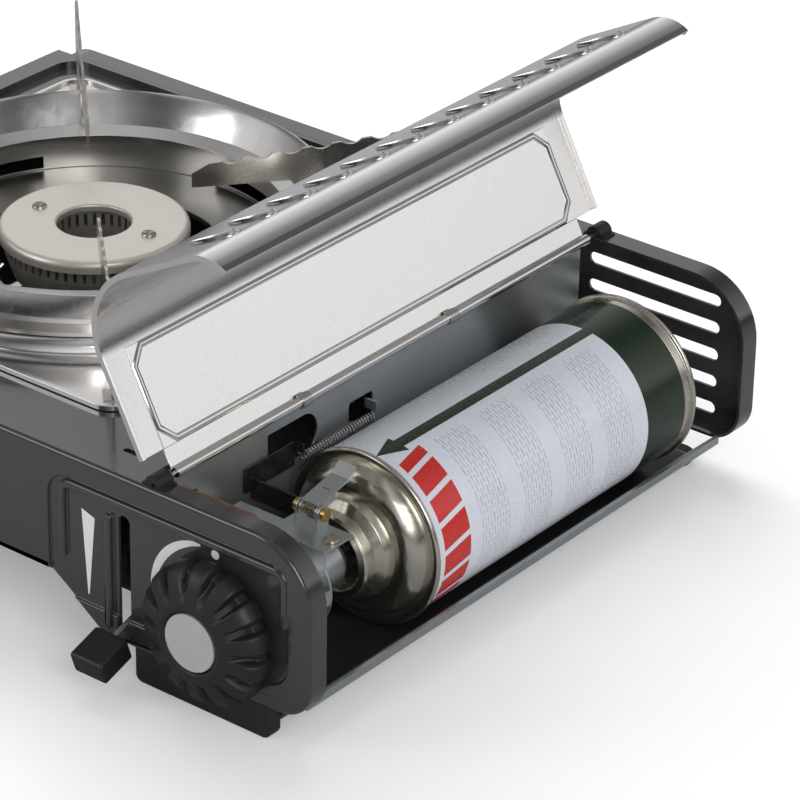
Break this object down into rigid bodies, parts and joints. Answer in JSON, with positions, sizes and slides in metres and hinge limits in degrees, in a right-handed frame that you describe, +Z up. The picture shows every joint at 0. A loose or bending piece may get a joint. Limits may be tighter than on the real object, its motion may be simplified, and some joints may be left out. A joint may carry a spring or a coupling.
{
  "type": "butane cassette stove",
  "caption": "portable butane cassette stove with an open hinged lid over the cartridge bay, a burner with wind ring and pan supports, a fluted gas knob and a lock lever",
  "frame": {"origin": "on the ground under the middle of the bounding box at rest", "axes": "X to the right towards the cartridge bay, Y to the back, Z up"},
  "size_m": [0.354, 0.288, 0.1786],
  "materials": {
    "grey_enamel": "gloss",
    "stainless": "polished",
    "satin_steel": "satin",
    "galvanised": "satin",
    "die_cast": "as cast",
    "cast_burner": "as cast",
    "brass": "satin",
    "black_plastic": "matte",
    "grey_plastic": "satin",
    "black_rubber": "matte",
    "ceramic": "glazed",
    "can_paint": "gloss",
    "tinplate": "satin"
  },
  "bodies": {
    "stove_body": {"top_shell": "grey_enamel", "front_panel": "grey_enamel", "rear_panel": "grey_enamel", "front_feet": "grey_enamel", "cap_screws": "satin_steel", "bottom_screws": "satin_steel", "bracket_screws": "satin_steel", "electrode": "satin_steel", "hinge_rod": "satin_steel", "lever_pivot": "satin_steel", "tension_spring": "satin_steel", "flap_spring": "satin_steel", "burner_cap": "satin_steel", "bottom_plate": "galvanised", "cartridge_tray": "galvanised", "partition": "galvanised", "regulator_bracket": "galvanised", "regulator_body": "die_cast", "regulator_cover": "die_cast", "regulator_nose": "die_cast", "mixing_tube": "die_cast", "burner_body": "cast_burner", "gas_jet": "brass", "flap_pin": "brass", "gas_pipe": "brass", "igniter_unit": "black_plastic", "igniter_lead": "black_plastic", "hinge_ear_front": "black_plastic", "hinge_ear_rear": "black_plastic", "rubber_feet": "black_rubber", "nose_seal": "black_rubber", "electrode_insulator": "ceramic"},
    "pan_set": {"drip_pan": "stainless", "wind_ring": "stainless", "burner_dish": "satin_steel", "support_front_left": "stainless", "support_front_right": "stainless", "support_rear_left": "stainless", "support_rear_right": "stainless"},
    "knob": {"control_knob": "black_plastic", "knob_disc": "grey_plastic", "valve_spindle": "satin_steel"},
    "lever": {"lever_arm": "galvanised", "lever_cap": "black_plastic"},
    "carriage": {"carriage": "galvanised"},
    "cartridge": {"can_shell": "can_paint", "can_dome": "tinplate", "can_base": "tinplate", "valve_cup": "tinplate", "valve_stem": "black_rubber"},
    "flap": {"safety_flap": "galvanised"},
    "lid": {"lid": "stainless", "rod_clips": "satin_steel"}
  },
  "joints": [
    {"name": "lid_hinge", "type": "hinge", "parent": "stove_body", "child": "lid", "pos_m": [0.1053, 0.01, 0.0832], "axis": [0, 1, 0], "range_deg": [0, 118]},
    {"name": "knob_turn", "type": "hinge", "parent": "stove_body", "child": "knob", "pos_m": [0.1355, -0.129, 0.0392], "axis": [0, -1, 0], "range_deg": [0, 150]},
    {"name": "carriage_slide", "type": "slide", "parent": "stove_body", "child": "carriage", "axis": [0, 1, 0], "range_m": [0, 0.0106]},
    {"name": "lever_swing", "type": "hinge", "parent": "stove_body", "child": "lever", "pos_m": [0.092, -0.058, 0.042], "axis": [-1, 0, 0], "range_deg": [0, 36.1]},
    {"name": "cartridge_slide", "type": "slide", "parent": "carriage", "child": "cartridge", "axis": [0, 1, 0], "range_m": [0, 0.008]},
    {"name": "flap_hinge", "type": "hinge", "parent": "stove_body", "child": "flap", "pos_m": [0.1355, -0.073, 0.0632], "axis": [1, 0, 0], "range_deg": [-4, 18], "stiffness_Nm_per_rad": 0.02},
    {"name": "pan_lift", "type": "slide", "parent": "stove_body", "child": "pan_set", "axis": [0, 0, 1], "range_m": [0, 0.06]}
  ],
  "couplings": [
    {"joint": "lever_swing", "follows": "carriage_slide", "rad_per_m": 59.27}
  ]
}
